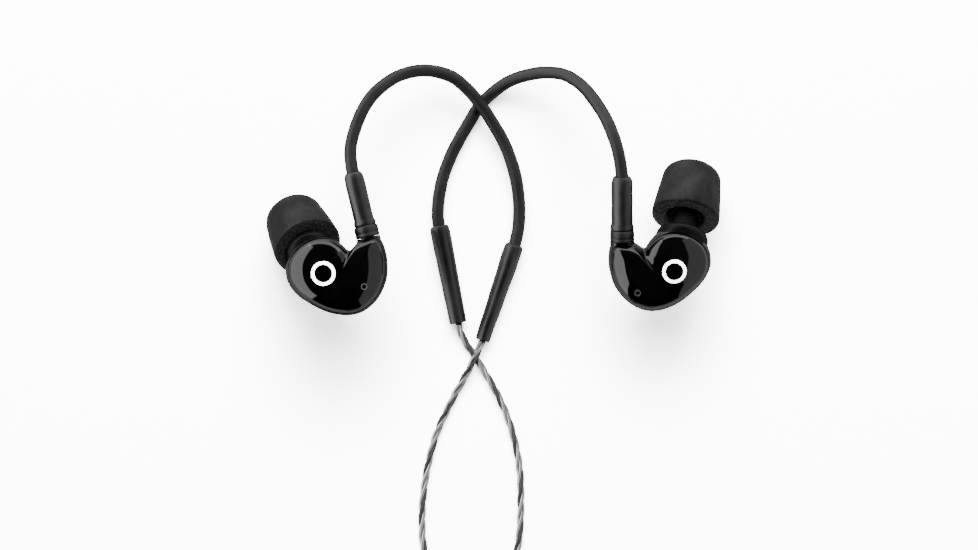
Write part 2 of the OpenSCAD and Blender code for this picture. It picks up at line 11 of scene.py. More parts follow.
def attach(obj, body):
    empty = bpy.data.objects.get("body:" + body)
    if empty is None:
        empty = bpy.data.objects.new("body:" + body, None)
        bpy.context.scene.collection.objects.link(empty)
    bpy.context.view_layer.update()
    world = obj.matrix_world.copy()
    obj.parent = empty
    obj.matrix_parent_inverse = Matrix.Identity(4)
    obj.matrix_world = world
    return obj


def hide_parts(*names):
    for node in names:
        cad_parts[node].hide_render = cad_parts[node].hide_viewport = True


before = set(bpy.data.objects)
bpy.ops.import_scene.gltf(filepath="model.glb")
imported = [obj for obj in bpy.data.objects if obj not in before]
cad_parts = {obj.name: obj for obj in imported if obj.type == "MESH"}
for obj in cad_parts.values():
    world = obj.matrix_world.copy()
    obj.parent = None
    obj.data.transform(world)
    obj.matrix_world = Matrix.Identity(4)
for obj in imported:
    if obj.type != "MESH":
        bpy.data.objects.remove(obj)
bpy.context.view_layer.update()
MM = 0.001
SIDES = ("left", "right")
noise_source = np.random.default_rng(7)


# ---------------------------------------------------------------- routes, as in part.scad (mm)
AXIS_X, AXIS_DROP = 7.6, 2.0
COLLAR_START, COLLAR_LEN = 5.65, 2.2
COLLAR_END = COLLAR_START + COLLAR_LEN
SLEEVE_START = COLLAR_END + 0.02
SLEEVE_END = SLEEVE_START + 10.3
HOOK_START = COLLAR_END + 1.6
NOZZLE_BASE = (-2.8, 1.6, 0.0)
NOZZLE_PITCH, NOZZLE_LEAN = 46, 14
TIP_R, TIP_NOSE_R, TIP_LEN, TIP_ROUND = 6.5, 5.6, 11.0, 2.6
SEAT = {"left": 7.2, "right": 10.2}
TURN = {"left": 13.5, "right": 0.5}
TILT = {"left": 0, "right": 16}
SPOT = {"left": (-29.5, -13.6), "right": (32.2, -12.9)}


def rot(axis, degrees):
    """Turning matrix about an axis of the frame."""
    return Matrix.Rotation(math.radians(degrees), 4, axis)


NOZZLE_DIR = (rot("Z", NOZZLE_LEAN) @ rot("X", -NOZZLE_PITCH)) @ Vector((0, 1, 0))


def seam_height(side):
    """Height of the body's seam plane that lets the foam tip's nose just touch the table."""
    tilt = rot("X", TILT[side])
    base, way = tilt @ Vector(NOZZLE_BASE), tilt @ NOZZLE_DIR
    across = math.sqrt(1 - way.z ** 2)
    reach = SEAT[side] + TIP_LEN - TIP_ROUND
    return -(base.z + way.z * reach - (TIP_NOSE_R - TIP_ROUND) * across - TIP_ROUND)


def placing(side):
    """From the left body's own frame, in mm, to the row frame, in mm."""
    x, y = SPOT[side]
    place = Matrix.Translation((x, y, seam_height(side))) @ rot("Z", TURN[side])
    place = place @ rot("X", TILT[side])
    return place @ Matrix.Diagonal((-1, 1, 1, 1)) if side == "right" else place


PLACE = {side: placing(side) for side in SIDES}


def on_axis(side, distance):
    """Point of the connector's axis at a distance from the body's middle line."""
    return tuple(PLACE[side] @ Vector((AXIS_X, distance, -AXIS_DROP)))


def in_sleeve(side):
    """The straight part of the hook's route, inside the upper sleeve."""
    return [on_axis(side, at) for at in (HOOK_START, SLEEVE_END - 3, SLEEVE_END)]


HOOK_ROUTE = {
    "left": [*in_sleeve("left"),
             (-26.8, 10, 13.5), (-25.9, 14.2, 12.9), (-24, 18.6, 11.8), (-21.4, 21.8, 10.6),
             (-17.5, 24.4, 9.1), (-12.7, 25.4, 7.3), (-8, 24.4, 5.8), (-4.9, 22.1, 4.7),
             (-2.3, 19.1, 3.9), (0.3, 15.2, 3.1), (2.6, 11, 2.5), (4.3, 6, 2.1), (5.1, 1, 1.9),
             (5.1, -3.6, 1.8), (4.4, -7.4, 1.8), (3.4, -10.4, 1.74), (2.8, -12.2, 1.7)],
    "right": [*in_sleeve("right"),
              (23.8, 9.2, 18.1), (22.8, 12.6, 17.8), (21.3, 16.2, 16.4), (19.2, 19.6, 14.3),
              (16.9, 22.4, 12), (13.9, 24.4, 9.6), (10.6, 25, 7.2), (7.2, 24.7, 5.1),
              (3.5, 23.6, 3.2), (0.4, 21.6, 1.8), (-2.3, 19, 1.3), (-4.2, 16, 1.25),
              (-6.2, 12.6, 1.25), (-8, 9, 1.25), (-9.4, 5.2, 1.35), (-10.2, 1.2, 1.6),
              (-10.4, -2, 1.85), (-10.1, -4.4, 1.88), (-9.6, -7, 1.84), (-9.3, -8.6, 1.82)],
}
# start, end, radius at the start, radius at the end
LOWER_SLEEVE = {
    "left": ((4.3, -7.7, 1.8), (-1.9, -26, 1.35), 1.75, 1.33),
    "right": ((-10.15, -4.1, 1.88), (-6.5, -22.7, 1.6), 1.85, 1.58),
}
UPPER_SLEEVE_R = {"left": 1.85, "right": 1.9}
SLEEVE_OVAL = 0.12   # how much further the flattened sleeves reach sideways than up
SLEEVE_SIDES = 48
LEAD_ROUTE = {
    "left": [LOWER_SLEEVE["left"][1], (-2.3, -27.2, 1.55), (-3.2, -29.1, 1.95),
             (-5.1, -32.8, 1.2), (-7.2, -36.5, 0.7), (-9, -40.1, 0.62), (-10.7, -44, 0.62),
             (-12, -48.6, 0.62), (-12.8, -52.8, 0.62), (-13.3, -57.1, 0.62),
             (-13.4, -61.4, 0.62), (-13.1, -65.5, 0.62), (-11.9, -69, 0.7),
             (-9.4, -71.8, 0.9), (-6.8, -73.8, 1.2), (-5.2, -75.8, 1.38), (-4.75, -77.4, 1.4),
             (-4.75, -78.6, 1.4), (-4.75, -88, 1.4), (-4.75, -96, 1.4), (-4.7, -98.5, 1.3),
             (-4.6, -101.6, 1.1)],
    "right": [LOWER_SLEEVE["right"][1], (-6.1, -24.2, 1.3), (-5.3, -26, 0.9),
              (-3.6, -28.6, 0.64), (-2.2, -30.8, 0.62), (-0.5, -33.6, 0.62),
              (1.3, -36.9, 0.62), (2.8, -40.3, 0.62), (4, -44, 0.62), (4.9, -48, 0.62),
              (5.4, -52, 0.62), (5.5, -56.4, 0.62), (5.4, -60.9, 0.62), (4.9, -65.5, 0.62),
              (3.7, -69, 0.7), (1.3, -71.8, 0.9), (-1.3, -73.8, 1.2), (-2.8, -75.8, 1.38),
              (-3.25, -77.4, 1.4), (-3.25, -78.6, 1.4), (-3.25, -88, 1.4), (-3.25, -96, 1.4),
              (-3.3, -98.5, 1.3), (-3.4, -104, 1.05)],
}
LEAD_END = {
    "left": [(-4.6, -114.9, 2.3), (-4.65, -118, 2.45), (-4.7, -121.5, 2.6), (-4.7, -125, 2.6)],
    "right": [(-3.4, -112.1, 2.3), (-3.35, -117, 2.45), (-3.3, -121.5, 2.6),
              (-3.3, -125, 2.6)],
}
MAIN_LOOP = [(-4, -133, 2.6), (-4, -136, 2.3), (-4.1, -138.5, 1.4), (-5.7, -144.3, 0.92),
             (-10.3, -148.9, 0.92), (-16.5, -150.6, 0.92), (-22.8, -148.9, 0.92),
             (-27.4, -144.3, 0.92), (-29.1, -138, 0.92), (-29.1, -130, 1.3),
             (-29.1, -122, 2.6), (-29.1, -116, 3.6), (-29.1, -112.6, 3.7)]
MAIN_END = [(-3.7, -109, 9.1), (-3.3, -111.6, 8.6), (-2.2, -113.8, 7.4), (-0.4, -115.8, 5.7),
            (1.8, -117.2, 4.3), (4.4, -118.6, 3.5), (7, -120.1, 3.25), (8.6, -121.02, 3.25)]
COIL_X, COIL_Y, COIL_BASE = -16.4, -108.0, 0.4
COIL_R, COIL_HALF_W = 10.0, 3.6
LEAD_D, MAIN_D = 1.2, 1.8
HOOK_R = 1.2
COLLAR_R = 2.3


# ---------------------------------------------------------------- camera at the photo's angle
VIEW_MIDDLE = (-0.6, -13.5)   # mm, the point of the table under the camera
VIEW_WIDTH = 185.8            # mm of table across the picture, at the bodies' usual height
VIEW_PLANE = 8.0              # mm above the table
CAMERA_AWAY = 1000.0          # mm from that plane
SENSOR = 36.0


def make_camera():
    """Camera straight above the object, with the photo's framing."""
    data = bpy.data.cameras.new("camera")
    data.sensor_width = SENSOR
    data.lens = SENSOR * CAMERA_AWAY / VIEW_WIDTH
    data.clip_start, data.clip_end = 0.01, 10
    camera = bpy.data.objects.new("camera", data)
    camera.location = (VIEW_MIDDLE[0] * MM, VIEW_MIDDLE[1] * MM,
                       (VIEW_PLANE + CAMERA_AWAY) * MM)
    bpy.context.scene.collection.objects.link(camera)
    bpy.context.scene.camera = camera


make_camera()


# ---------------------------------------------------------------- curves and sweeps
def catmull_rom(p, steps):
    """Smooth curve from the second point to just before the last but one."""
    t = (np.arange(steps) / steps)[:, None]
    rows = []
    for a, b, c, d in zip(p, p[1:], p[2:], p[3:]):
        rows.append(0.5 * (2 * b + (c - a) * t + (2 * a - 5 * b + 4 * c - d) * t ** 2
                           + (3 * b - a - 3 * c + d) * t ** 3))
    return np.vstack(rows)


def spline(points, steps):
    """Smooth open curve through all the points."""
    p = np.array(points, float)
    p = np.vstack([2 * p[0] - p[1], p, 2 * p[-1] - p[-2]])
    return np.vstack([catmull_rom(p, steps), p[-2:-1]])


def closed_spline(points, steps):
    """Smooth closed curve through all the points."""
    p = np.array(points, float)
    return catmull_rom(np.vstack([p[-1], p, p[0], p[1]]), steps)


def travelled(path):
    """Distance along the path at each of its points."""
    return np.concatenate([[0], np.cumsum(np.linalg.norm(np.diff(path, axis=0), axis=1))])


def evenly(path, step):
    """The same path with its points a step apart."""
    along = travelled(path)
    at = np.linspace(0, along[-1], max(2, round(along[-1] / step) + 1))
    return np.column_stack([np.interp(at, along, path[:, k]) for k in range(3)])


def length_of(path):
    """Length of the path."""
    return float(np.linalg.norm(np.diff(path, axis=0), axis=1).sum())


def cross_frame(path):
    """Sideways and upward directions at each point of a path that lies roughly flat."""
    tangent = np.gradient(path, axis=0)
    tangent /= np.linalg.norm(tangent, axis=1)[:, None]
    side = np.cross([0, 0, 1], tangent)
    side /= np.linalg.norm(side, axis=1)[:, None]
    return side, np.cross(tangent, side)


def tube_rings(path, radius, sides, offset=0.0, lay=None, phase=0.0):
    """Rings of a tube round the path, or of a strand that winds round it with the given lay."""
    side, up = cross_frame(path)
    centre = path
    if lay:
        turn = 2 * np.pi * travelled(path) / lay + phase
        centre = path + offset * (np.cos(turn)[:, None] * side + np.sin(turn)[:, None] * up)
    angle = 2 * np.pi * np.arange(sides) / sides
    radius = np.broadcast_to(radius, len(path))
    ring = (np.cos(angle)[None, :, None] * side[:, None]
            + np.sin(angle)[None, :, None] * up[:, None])
    return centre[:, None] + radius[:, None, None] * ring


def placed(points, matrix):
    """The points after a 4x4 placing."""
    m = np.array(matrix)
    return points @ m[:3, :3].T + m[:3, 3]


def ring_faces(rows, sides, start, caps=True):
    """Faces that join rows of rings, whose first point has the number start, with both ends
    closed where caps is true."""
    faces = []
    for i in range(rows - 1):
        for k in range(sides):
            a, b = start + i * sides + k, start + i * sides + (k + 1) % sides
            faces.append((a, b, b + sides, a + sides))
    if caps:
        faces.append(tuple(start + k for k in reversed(range(sides))))
        faces.append(tuple(start + (rows - 1) * sides + k for k in range(sides)))
    return faces


def make_piece(name, points, faces, body, materials, groups=None):
    """A mesh piece from points in mm in the row frame. groups gives each face's material."""
    mesh = bpy.data.meshes.new(name)
    mesh.from_pydata((np.asarray(points, float) * MM).tolist(), [], faces)
    for m in materials:
        mesh.materials.append(m)
    if groups is not None:
        mesh.polygons.foreach_set("material_index", groups)
    mesh.polygons.foreach_set("use_smooth", [True] * len(mesh.polygons))
    mesh.update()
    outward(mesh)
    piece = bpy.data.objects.new(name, mesh)
    bpy.context.scene.collection.objects.link(piece)
    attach(piece, body)
    return piece


def outward(mesh):
    """Turns every face of a mesh to face outward."""
    work = bmesh.new()
    work.from_mesh(mesh)
    bmesh.ops.recalc_face_normals(work, faces=work.faces)
    work.to_mesh(mesh)
    work.free()


def twisted_piece(name, path, materials, strands, strand_r, offset, lay):
    """A cord of strands that wind round one another along the path."""
    points, faces, groups = [], [], []
    for k in range(strands):
        rings = tube_rings(path, strand_r, STRAND_SIDES, offset, lay,
                           2 * np.pi * k / strands)
        new = ring_faces(len(path), STRAND_SIDES, len(points) * len(path) * STRAND_SIDES)
        faces += new
        groups += [k % len(materials)] * len(new)
        points.append(rings.reshape(-1, 3))
    return make_piece(name, np.vstack(points), faces, "harness", materials,
                      groups)


# ---------------------------------------------------------------- coil of the unseen cable
CLIMB = 50            # degrees over which a turn climbs to the next layer
POINTS_PER_TURN = 72
LEAD_LAYERS = [COIL_BASE + LEAD_D / 2, COIL_BASE + 1.5 * LEAD_D]
MAIN_LAYERS = [COIL_BASE + 2 * LEAD_D + MAIN_D * (k + 0.5) for k in range(4)]


def layer_turns(start, turns, r_from, r_to, z_from, z_to):
    """Flat spiral, clockwise from above, that first climbs from the layer before it."""
    count = round(turns * POINTS_PER_TURN)
    t = np.linspace(0, 1, count + 1)[:-1]
    angle = np.radians(start - 360 * turns * t)
    radius = r_from + (r_to - r_from) * t
    climb = np.clip(turns * 360 * t / CLIMB, 0, 1)
    z = z_from + (z_to - z_from) * climb ** 2 * (3 - 2 * climb)
    return np.column_stack([COIL_X + radius * np.cos(angle), COIL_Y + radius * np.sin(angle),
                            z])


def lead_coil(side):
    """A lead's three turns, low in the coil; the two leads lie side by side."""
    outer = COIL_R + COIL_HALF_W - LEAD_D * (1.5 if side == "left" else 0.5)
    inner = outer - 4 * LEAD_D
    low, high = LEAD_LAYERS
    return np.vstack([layer_turns(0, 2, outer, inner, low, low),
                      layer_turns(0, 1, inner, outer, low, high)])


def main_coil():
    """The main cable's four layers of turns, above the leads'."""
    outer, inner = COIL_R + 1.5 * MAIN_D, COIL_R - 1.5 * MAIN_D
    ways = [(3, outer, inner), (3, inner, outer), (3, outer, inner), (2.5, inner, outer)]
    parts, before = [], MAIN_LAYERS[0]
    for (turns, r_from, r_to), z in zip(ways, MAIN_LAYERS):
        parts.append(layer_turns(180, turns, r_from, r_to, before, z))
        before = z
    return np.vstack(parts)


ROUTE_STEPS = 8     # points of a smooth curve between two points of its route
COIL_EVERY = 12     # the routes take every twelfth point of a coil


def joined(before, coil, after):
    """Smooth route that runs into the coil, round it and out again."""
    return spline(np.vstack([np.array(before), coil[::COIL_EVERY], np.array(after)]),
                  ROUTE_STEPS)


# ---------------------------------------------------------------- materials
def rgba(color):
    """Four numbers from three, or from one grey level."""
    return (*color, 1) if isinstance(color, tuple) else (color, color, color, 1)


class Shade:
    """A node material under construction: short calls that each add a node and link it."""

    def __init__(self, name):
        self.material = bpy.data.materials.new(name)
        self.material.use_nodes = True
        self.tree = self.material.node_tree
        self.tree.nodes.clear()
        self.out = self.tree.nodes.new("ShaderNodeOutputMaterial")
        self.surface = self.tree.nodes.new("ShaderNodeBsdfPrincipled")
        self.tree.links.new(self.surface.outputs[0], self.out.inputs["Surface"])
        self.place = self.tree.nodes.new("ShaderNodeTexCoord").outputs["Object"]

    def link(self, value, socket):
        """Links a node's output to the socket, or sets the socket to a plain value."""
        if isinstance(value, bpy.types.NodeSocket):
            self.tree.links.new(value, socket)
        else:
            socket.default_value = value

    def set(self, **values):
        """Sets or links the named inputs of the main surface."""
        names = {"color": "Base Color", "rough": "Roughness", "metal": "Metallic",
                 "specular": "Specular IOR Level", "normal": "Normal"}
        for key, value in values.items():
            if key == "color" and not isinstance(value, bpy.types.NodeSocket):
                value = rgba(value)
            self.link(value, self.surface.inputs[names[key]])
        return self

    def mute(self, share, dull=None, edge=0.8, start=0.25, end=0.65):
        """Weakens reflections: a share of the surface is plainly dull, in its own color or
        the given one, and towards the grazing edge the rest loses a share of its gloss."""
        flat = self.tree.nodes.new("ShaderNodeBsdfDiffuse")
        if dull is None:
            color = self.surface.inputs["Base Color"]
            self.link(color.links[0].from_socket, flat.inputs["Color"])
        else:
            flat.inputs["Color"].default_value = rgba(dull)
        facing = self.tree.nodes.new("ShaderNodeLayerWeight").outputs["Facing"]
        mix = self.tree.nodes.new("ShaderNodeMixShader")
        self.link(self.ramp(facing, start, end, share, share + edge * (1 - share)),
                  mix.inputs[0])
        self.tree.links.new(self.surface.outputs[0], mix.inputs[1])
        self.tree.links.new(flat.outputs[0], mix.inputs[2])
        self.tree.links.new(mix.outputs[0], self.out.inputs["Surface"])
        return self

    def noise(self, scale, detail=3.0, rough=0.5, stretch=None):
        """Soft random pattern, drawn out where stretch has shares below one."""
        node = self.tree.nodes.new("ShaderNodeTexNoise")
        node.inputs["Scale"].default_value = scale
        node.inputs["Detail"].default_value = detail
        node.inputs["Roughness"].default_value = rough
        self.link(self.stretched(stretch), node.inputs["Vector"])
        return node.outputs["Fac"]

    def stretched(self, stretch):
        """The object's own coordinates, scaled along each axis if stretch is given."""
        if stretch is None:
            return self.place
        node = self.tree.nodes.new("ShaderNodeMapping")
        node.inputs["Scale"].default_value = stretch
        self.link(self.place, node.inputs["Vector"])
        return node.outputs[0]

    def cells(self, scale):
        """Distance to the middle of the nearest cell, for pores and meshes."""
        node = self.tree.nodes.new("ShaderNodeTexVoronoi")
        node.inputs["Scale"].default_value = scale
        self.link(self.place, node.inputs["Vector"])
        return node.outputs["Distance"]

    def ramp(self, value, low, high, dark, light):
        """Maps value from low..high to dark..light, numbers or grey levels."""
        node = self.tree.nodes.new("ShaderNodeMapRange")
        self.link(value, node.inputs["Value"])
        for name, v in (("From Min", low), ("From Max", high), ("To Min", dark),
                        ("To Max", light)):
            node.inputs[name].default_value = v
        return node.outputs["Result"]

    def blend(self, value, low, high, one, two):
        """Goes from color one to color two as value goes from low to high."""
        factor = self.ramp(value, low, high, 0, 1)
        node = self.tree.nodes.new("ShaderNodeMix")
        node.data_type = "RGBA"
        self.link(factor, node.inputs[0])
        self.link(rgba(one), node.inputs[6])
        self.link(rgba(two), node.inputs[7])
        return node.outputs[2]

    def bump(self, height, strength, distance, under=None):
        """Fine relief from a pattern, on top of another relief if under is given."""
        node = self.tree.nodes.new("ShaderNodeBump")
        node.inputs["Strength"].default_value = strength
        node.inputs["Distance"].default_value = distance
        self.link(height, node.inputs["Height"])
        if under is not None:
            self.link(under, node.inputs["Normal"])
        return node.outputs[0]


def gloss_black():
    """Polished moulding with faint smears and dust."""
    s = Shade("gloss_black")
    smear = s.noise(180, 4, 0.6)
    dust = s.noise(5200, 2, 0.5)
    s.set(color=s.blend(smear, 0.35, 0.7, 0.0001, 0.0004),
          rough=s.ramp(smear, 0.4, 0.75, 0.035, 0.075), normal=s.bump(dust, 0.02, 0.00001))
    return s.mute(0.84).material


def satin_black(name, level, rough, mute=0.9):
    """Dark moulded plastic or rubber, a little cloudy, with a fine grain."""
    s = Shade(name)
    patch = s.noise(260, 4, 0.6)
    fine = s.noise(2400, 3, 0.6)
    s.set(color=s.blend(patch, 0.3, 0.7, level, level * 1.7),
          rough=s.ramp(patch, 0.3, 0.75, rough - 0.06, rough + 0.08),
          normal=s.bump(fine, 0.12, 0.00003))
    return s.mute(mute).material


def heat_shrink():
    """Shrunk sleeve with marks drawn out along it."""
    s = Shade("heat_shrink")
    long_marks = s.noise(420, 4, 0.6, (1, 0.3, 1))
    fine = s.noise(2600, 3, 0.6)
    s.set(color=s.blend(long_marks, 0.3, 0.7, 0.0003, (0.0012, 0.0012, 0.0013)),
          rough=s.ramp(long_marks, 0.3, 0.75, 0.3, 0.45),
          normal=s.bump(fine, 0.15, 0.00003, s.bump(long_marks, 0.35, 0.0001)))
    return s.mute(0.82).material


def hook_rubber():
    """Soft matte tube of the ear hook."""
    s = Shade("hook_rubber")
    cloud_and_painted_highlight = s.noise(150, 4, 0.6)
    fine = s.noise(3800, 3, 0.65)
    s.set(color=s.blend(cloud_and_painted_highlight, 0.3, 0.7, 0.0008, (0.0019, 0.0019, 0.002)),
          rough=s.ramp(cloud_and_painted_highlight, 0.3, 0.7, 0.42, 0.55), normal=s.bump(fine, 0.25, 0.00004))
    return s.mute(0.9).material


def foam_skin():
    """Moulded skin of the foam tip: smooth, with tiny pores, and painted highlight streaks drawn
    out along Y.
    """
    s = Shade("foam_skin")
    # this noise is drawn out along Y into streaks; the lighter streaks it gives the colour are
    # painted highlights, and it also varies the roughness
    cloud_and_painted_highlight = s.noise(190, 4, 0.6, (1, 0.35, 1))
    pores = s.cells(2600)
    grain = s.noise(5200, 4, 0.7)
    s.set(color=s.blend(cloud_and_painted_highlight, 0.38, 0.64, 0.0003, 0.002),
          rough=s.ramp(cloud_and_painted_highlight, 0.3, 0.7, 0.36, 0.52),
          normal=s.bump(grain, 0.25, 0.00005, s.bump(pores, 0.2, 0.00006)))
    return s.mute(0.95, edge=0.5).material


def foam_cut():
    """Cut face of the foam tip, with open pores of two sizes."""
    s = Shade("foam_cut")
    pores = s.cells(1900)
    small = s.cells(4600)
    grain = s.noise(2800, 5, 0.75)
    s.set(color=s.blend(grain, 0.38, 0.66, 0.0006, (0.0048, 0.0048, 0.005)),
          rough=0.92, specular=0.05,
          normal=s.bump(small, 0.6, 0.0001, s.bump(pores, 0.9, 0.0003)))
    return s.material


def strand(name, level, metal, mute):
    """Silvery wire in a clear jacket: bright, with a fine grain of wires along it."""
    s = Shade(name)
    grain = s.noise(900, 3, 0.6, (1, 0.25, 1))
    s.set(color=s.blend(grain, 0.3, 0.7, level * 0.6, level),
          metal=metal, rough=s.ramp(grain, 0.3, 0.7, 0.14, 0.24))
    return s.mute(mute, 0.005, 0.9, 0.2, 0.55).material


def metal(name, color, rough):
    """Plated or bare metal with faint turning marks."""
    s = Shade(name)
    marks = s.noise(1500, 4, 0.6, (1, 1, 0.2))
    light = tuple(min(1, c * 1.12) for c in color)
    s.set(color=s.blend(marks, 0.3, 0.7, color, light), metal=1.0,
          rough=s.ramp(marks, 0.3, 0.7, rough, rough + 0.12),
          normal=s.bump(marks, 0.05, 0.00002))
    return s.mute(0.88, tuple(c * 0.03 for c in color), 0.3).material


def plain_plastic(name, color, rough):
    """Light plastic or film, a little patchy."""
    s = Shade(name)
    patch = s.noise(700, 3, 0.6)
    s.set(color=s.blend(patch, 0.3, 0.7, color, tuple(c * 0.85 for c in color)),
          rough=rough, normal=s.bump(patch, 0.05, 0.00003))
    return s.material


def print_white():
    """White ink, a little uneven."""
    s = Shade("print_white")
    ink = s.noise(2200, 3, 0.6)
    s.set(color=s.blend(ink, 0.3, 0.7, 0.82, 0.92),
          rough=s.ramp(ink, 0.3, 0.7, 0.3, 0.42))
    return s.material


def woven(name, level):
    """Fine fabric or wire cloth."""
    s = Shade(name)
    loops = s.cells(2600)
    s.set(color=s.blend(loops, 0, 0.6, level * 1.8, level * 0.5),
          rough=0.85, specular=0.1, normal=s.bump(loops, 0.7, 0.0002))
    return s.mute(0.7).material


GLOSS = gloss_black()
# dull near-black copy of the shell's plastic: painted shade for the nozzle's root, down between
# the foam tip and the body
PAINTED_SHADE_BLACK = satin_black("painted_shade_black", 0.0004, 0.25, mute=0.97)
SHRINK = heat_shrink()
HOOK = hook_rubber()
SKIN = foam_skin()
CUT = foam_cut()
SILVER = strand("silver_strand", 0.66, 0.9, 0.87)
GREY = strand("grey_strand", 0.2, 0.7, 0.97)
BLACK = satin_black("satin_black", 0.0012, 0.36)
# darker, duller copy of the satin black for the nozzle: painted shade inside the foam tip's
# recess
NECK_PAINTED_SHADE = satin_black("neck_painted_shade", 0.0006, 0.4, mute=0.97)
GOLD = metal("gold_plate", (0.8, 0.6, 0.28), 0.16)
STEEL = metal("bright_steel", (0.62, 0.62, 0.64), 0.2)
WHITE = print_white()


# ---------------------------------------------------------------- cords
LEAD_STEP, MAIN_STEP = 0.45, 0.7
LEAD_STRANDS = {"strands": 3, "strand_r": 0.35, "offset": 0.36, "lay": 9.6}
MAIN_STRANDS = {"strands": 4, "strand_r": 0.42, "offset": 0.5, "lay": 13}
STRAND_SIDES = 8
LOWEST_LEAD = LEAD_STRANDS["strand_r"] + LEAD_STRANDS["offset"]


def make_leads():
    """Both twisted leads, from the lower sleeve through the coil to the splitter."""
    for side in SIDES:
        path = evenly(joined(LEAD_ROUTE[side], lead_coil(side), LEAD_END[side]), LEAD_STEP)
        path[:, 2] = np.maximum(path[:, 2], LOWEST_LEAD)
        piece = twisted_piece(f"{side}_twisted_lead", path, [SILVER, SILVER, GREY],
                              **LEAD_STRANDS)
        nodes = [f"{side}_lead"]
        if side == "left":
            nodes += ["lead_coil", "lead_ends"]
        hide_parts(*nodes)


def make_main():
    """The main cable, from the splitter through the coil to the plug."""
    path = evenly(joined(MAIN_LOOP, main_coil(), MAIN_END), MAIN_STEP)
    piece = twisted_piece("main_cable", path, [SILVER, GREY], **MAIN_STRANDS)
    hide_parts("main_loop", "cable_coil", "main_end")


make_leads()
make_main()


# ---------------------------------------------------------------- lathe-turned pieces
def turned(name, profile, sides, place, body, materials, groups=None, ripple=None):
    """A piece turned about +Z of place, from (radius, height) pairs. ripple(r, h, angle)
    gives each point's own radius."""
    angle = 2 * np.pi * np.arange(sides) / sides
    points = []
    for r, h in profile:
        radius = np.full(sides, r) if ripple is None else ripple(r, h, angle)
        points.append(np.column_stack([radius * np.cos(angle), radius * np.sin(angle),
                                       np.full(sides, h)]))
    points = placed(np.vstack(points), place)
    closed = tuple(profile[0]) == tuple(profile[-1])
    faces = ring_faces(len(profile), sides, 0, caps=not closed)
    per_face = None
    if groups is not None:
        per_face = [groups[min(i // sides, len(groups) - 1)] for i in range(len(faces))]
    return make_piece(name, points, faces, body, materials, per_face)


def along_nozzle(side, distance):
    """Placing whose +Z points out along the nozzle, a distance from its root."""
    way = Matrix.Translation(Vector(NOZZLE_BASE)) @ rot("Z", NOZZLE_LEAN)
    way = way @ rot("X", -90 - NOZZLE_PITCH)
    return PLACE[side] @ way @ Matrix.Translation((0, 0, distance))


def along_connector(side, distance):
    """Placing whose +Z points out along the cable's connector."""
    way = Matrix.Translation((AXIS_X, distance, -AXIS_DROP)) @ rot("X", -90)
    return PLACE[side] @ way


# ---------------------------------------------------------------- earpiece bodies
OUTLINE = [(10.1, 0.1), (10.2, 3.4), (9.5, 5.2), (7.6, 5.6), (5.7, 5.3), (4.4, 4.4),
           (3.4, 4.1), (2.3, 5.7), (0.4, 7.4), (-2.5, 8.1), (-5.8, 7.2), (-8.4, 4.8),
           (-9.2, 1.6), (-8.4, -1.2), (-6.6, -3.5), (-3.6, -6.1), (-0.2, -7.7),
           (3.2, -7.9), (6.5, -6.3), (9, -3.3)]
MIDDLE = np.array([1.0, 0.0])
SHELL_DEPTH, DOME_H = 6.5, 3.2
EDGE = closed_spline(OUTLINE, 10)
INNER = 0.90          # share of the outline where both halves end inside, out of sight
FACE_SHARE = 0.947    # share of the outline that the faceplate fills
WIDEST = 1.012        # share of the outline that the shell reaches below its lip


def body_ring(scale, z):
    """The body's outline scaled about its middle, at a height from the seam."""
    flat = MIDDLE + scale * (EDGE - MIDDLE)
    return np.column_stack([flat, np.full(len(flat), z)])


def quarter(power_in, power_up, count):
    """Squarish quarter curve from the seam to near the pole: scale and height shares."""
    angle = np.radians(np.linspace(0, 88, count))
    return np.column_stack([np.cos(angle) ** power_in, np.sin(angle) ** power_up])


def shell_profile():
    """Seam lip, a wall that is widest a little below the seam, then the rounded back."""
    rows = [(INNER, -1.2), (INNER, 0.0), (0.956, 0.0), (0.962, -0.02), (0.968, -0.1),
            (0.978, -0.35), (0.988, -0.75), (0.996, -1.25)]
    for inward, down in quarter(0.77, 0.77, 26):
        z = -SHELL_DEPTH * down
        if z < -1.7:
            rows.append((inward * WIDEST, z))
    return rows


def dome_profile():
    """Edge of the faceplate, rounded over, then its low dome."""
    edge_z = 0.1
    rows = [(INNER, -0.5), (0.944, -0.5), (0.946, 0.02), (FACE_SHARE, edge_z)]
    for inward, up in quarter(0.85, 0.9, 30):
        if inward < 0.998:
            rows.append((inward * FACE_SHARE, edge_z + (DOME_H - edge_z) * up))
    return rows


def lofted(name, rows, side, body):
    """A piece whose rings are scaled copies of the body's outline."""
    points = placed(np.vstack([body_ring(scale, z) for scale, z in rows]), PLACE[side])
    return make_piece(name, points, ring_faces(len(rows), len(EDGE), 0), body,
                      [GLOSS])


def make_body(side):
    """Shell and faceplate; gives back the faceplate."""
    body = f"{side}_earpiece"
    shell = lofted(f"{side}_shell_gloss", shell_profile(), side, body)
    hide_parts(f"{side}_shell")
    face = lofted(f"{side}_face_gloss", dome_profile(), side, body)
    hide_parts(f"{side}_faceplate")
    return face


SEAM_GAP = 0.03       # mm, how far below the seam plane a cut piece ends


def cut_at_seam(piece, side):
    """Removes what stands above the body's seam plane."""
    work = bmesh.new()
    work.from_mesh(piece.data)
    up = (PLACE[side].to_3x3() @ Vector((0, 0, 1))).normalized()
    at = (PLACE[side] @ Vector((0, 0, -SEAM_GAP))) * MM
    everything = work.verts[:] + work.edges[:] + work.faces[:]
    bmesh.ops.bisect_plane(work, geom=everything, plane_co=at, plane_no=up, clear_outer=True)
    rim = [e for e in work.edges if e.is_boundary]
    bmesh.ops.holes_fill(work, edges=rim, sides=0)
    bmesh.ops.recalc_face_normals(work, faces=work.faces)
    work.to_mesh(piece.data)
    work.free()


BASE_R, BASE_END = 5.0, 6.6
BASE_START, BASE_BORE_R = 1.6, 3.0
BOSS_R, BOSS_BORE_R, BOSS_START, BOSS_LEN = 2.3, 1.92, 4.2, 1.4


